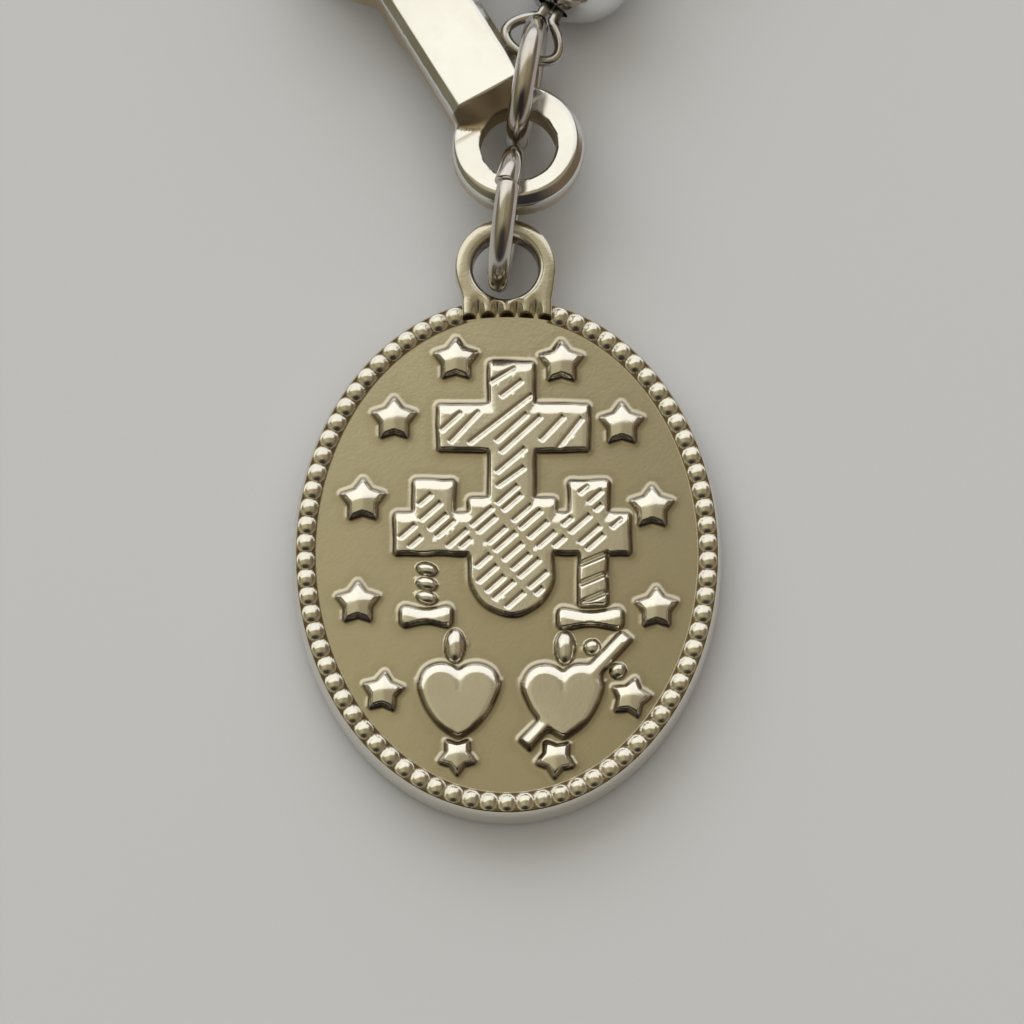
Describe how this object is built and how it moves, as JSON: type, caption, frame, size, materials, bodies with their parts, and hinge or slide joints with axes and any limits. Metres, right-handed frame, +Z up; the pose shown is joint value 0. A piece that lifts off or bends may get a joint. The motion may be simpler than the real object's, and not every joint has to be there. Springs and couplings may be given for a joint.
{
  "type": "beaded bracelet",
  "caption": "Bracelet of round metal beads on a wire, closed by a lobster clasp that carries an oval medal, lying flat as a closed loop.",
  "frame": {"origin": "under the middle of the bounding box, on the surface that the bracelet lies on", "axes": "+Z up from that surface, +Y from the medal towards the far side of the loop, +X to the right of the medal seen from above"},
  "size_m": [0.0502, 0.0954, 0.005],
  "materials": {
    "medal_metal": "satin field, polished relief",
    "ring_metal": "polished",
    "clasp_metal": "polished",
    "bead_metal": "polished, slightly satin",
    "wire_metal": "satin"
  },
  "bodies": {
    "bracelet": {"medal": "medal_metal", "medal_ring": "ring_metal", "clasp_body": "clasp_metal", "link_ring": "ring_metal", "tail_ring": "ring_metal", "beading_wire": "wire_metal", "bead_01": "bead_metal", "bead_02": "bead_metal", "bead_03": "bead_metal", "bead_04": "bead_metal", "bead_05": "bead_metal", "bead_06": "bead_metal", "bead_07": "bead_metal", "bead_08": "bead_metal", "bead_09": "bead_metal", "bead_10": "bead_metal", "bead_11": "bead_metal", "bead_12": "bead_metal", "bead_13": "bead_metal", "bead_14": "bead_metal", "bead_15": "bead_metal", "bead_16": "bead_metal", "bead_17": "bead_metal", "bead_18": "bead_metal", "bead_19": "bead_metal", "bead_20": "bead_metal", "bead_21": "bead_metal", "bead_22": "bead_metal", "bead_23": "bead_metal", "bead_24": "bead_metal", "bead_25": "bead_metal", "bead_26": "bead_metal", "bead_27": "bead_metal", "bead_28": "bead_metal", "bead_29": "bead_metal", "bead_30": "bead_metal", "bead_31": "bead_metal", "bead_32": "bead_metal", "bead_33": "bead_metal", "bead_34": "bead_metal", "bead_35": "bead_metal", "bead_36": "bead_metal", "bead_37": "bead_metal", "bead_38": "bead_metal"},
    "lever": {"clasp_lever": "clasp_metal"}
  },
  "joints": [
    {"name": "lever_hinge", "type": "hinge", "parent": "bracelet", "child": "lever", "pos_m": [-0.00153, -0.01763, 0.00217], "axis": [0, 0, 1], "range_deg": [0, 14], "stiffness_Nm_per_rad": 0.0005, "springref_deg": -11.46}
  ]
}
